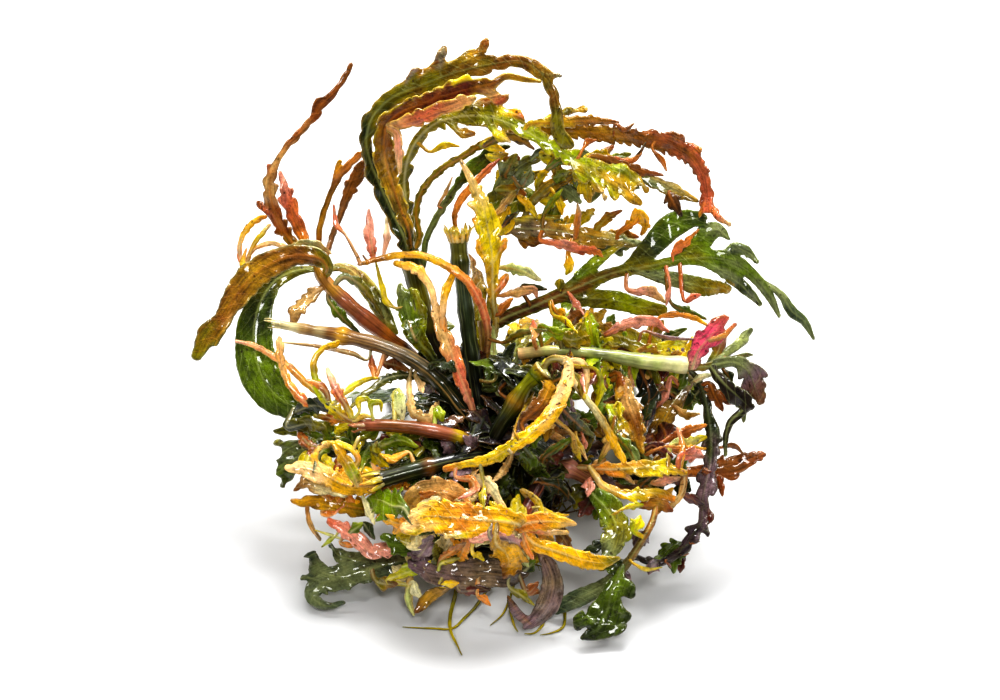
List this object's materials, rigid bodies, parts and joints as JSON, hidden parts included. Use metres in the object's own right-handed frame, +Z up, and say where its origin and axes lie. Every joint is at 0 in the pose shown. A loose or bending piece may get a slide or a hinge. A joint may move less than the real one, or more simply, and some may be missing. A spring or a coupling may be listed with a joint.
{
  "type": "aquarium plant clump",
  "caption": "Clump of Hygrophila pinnatifida, an aquarium plant: rooted crown, bent stems and narrow lobed leaves in green, olive, yellow and rust.",
  "frame": {"origin": "centre of the overall bounding box at the level of the surface that the clump stands on", "axes": "+Z up; +X to the clump's right and +Y to its back, as seen by the eye that looks at its front"},
  "size_m": [0.099, 0.067, 0.0731],
  "materials": {
    "crown": "matted roots, damp, matte to satin",
    "stem_dark": "wet green-black stem, glossy",
    "stem_brown": "wet purple-brown stem, glossy",
    "stem_red": "wet red-brown stem, glossy",
    "stem_pale": "pale yellow-green stem, translucent and glossy",
    "leaf_olive": "thin wet olive leaf with brown mottles, glossy",
    "leaf_green": "thin wet green leaf with lighter veins, glossy",
    "leaf_dark": "thin wet dark green leaf, very glossy",
    "leaf_grey": "thin wet grey-green leaf with yellow-green lobes, satin",
    "leaf_purple": "thin wet purple-grey leaf with ribs, satin",
    "leaf_yellow": "thin yellow to gold leaf, crinkled, translucent",
    "leaf_orange": "thin orange to coral leaf, translucent",
    "leaf_brown": "thin brown to rust leaf, glossy"
  },
  "bodies": {
    "root": {"root_crown": "crown", "upright_stem": "stem_dark", "short_brown_stem": "stem_brown", "forked_stem": "stem_dark", "arched_stem": "stem_brown", "glossy_red_stem": "stem_red", "dark_red_stem": "stem_red", "lower_left_stem": "stem_dark", "open_end_stem": "stem_dark", "pale_stem": "stem_pale", "lower_right_stem": "stem_brown", "front_stem": "stem_red", "rust_stem": "stem_red", "top_arch_leaf": "leaf_olive", "inner_arch_leaf": "leaf_brown", "bridge_leaf": "leaf_yellow", "right_arch_leaf": "leaf_brown", "dark_glossy_leaf": "leaf_dark", "whip_leaves": "leaf_brown", "reed_leaves": "leaf_brown", "mottled_leaf": "leaf_brown", "green_hoop_leaf": "leaf_green", "crinkled_olive_leaf": "leaf_olive", "fine_yellow_shoot": "leaf_yellow", "ring_leaf_shoot": "leaf_yellow", "left_dark_leaves": "leaf_dark", "peach_shoot": "leaf_orange", "ochre_leaf": "leaf_brown", "low_pink_leaf": "leaf_orange", "hooked_leaf": "leaf_grey", "front_dark_leaf": "leaf_dark", "amber_cupped_leaf": "leaf_orange", "golden_leaf": "leaf_yellow", "crinkled_gold_leaf": "leaf_yellow", "purple_folded_leaf": "leaf_purple", "purple_hanging_leaf": "leaf_purple", "cream_leaf": "leaf_yellow", "grey_bow_leaf": "leaf_grey", "dark_lobed_leaf": "leaf_dark", "bright_hanging_leaf": "leaf_green", "black_chain_leaf": "leaf_dark", "rust_blade_leaf": "leaf_brown", "olive_brown_leaf": "leaf_olive", "olive_highlight_leaf": "leaf_olive", "right_dark_leaf": "leaf_dark", "right_yellow_leaf": "leaf_yellow", "big_right_leaf": "leaf_grey", "upright_yellow_leaf": "leaf_yellow", "orange_bow_leaf": "leaf_orange", "orange_forked_leaf": "leaf_orange", "green_lobed_leaf": "leaf_green", "green_reed_leaf": "leaf_dark", "long_brown_leaf": "leaf_olive", "green_upper_leaf": "leaf_dark", "yellow_band_leaf": "leaf_yellow", "rosette_leaves": "leaf_grey", "back_left_leaves": "leaf_dark", "back_middle_leaves": "leaf_olive", "back_right_leaves": "leaf_green", "right_low_leaves": "leaf_brown"}
  },
  "joints": []
}
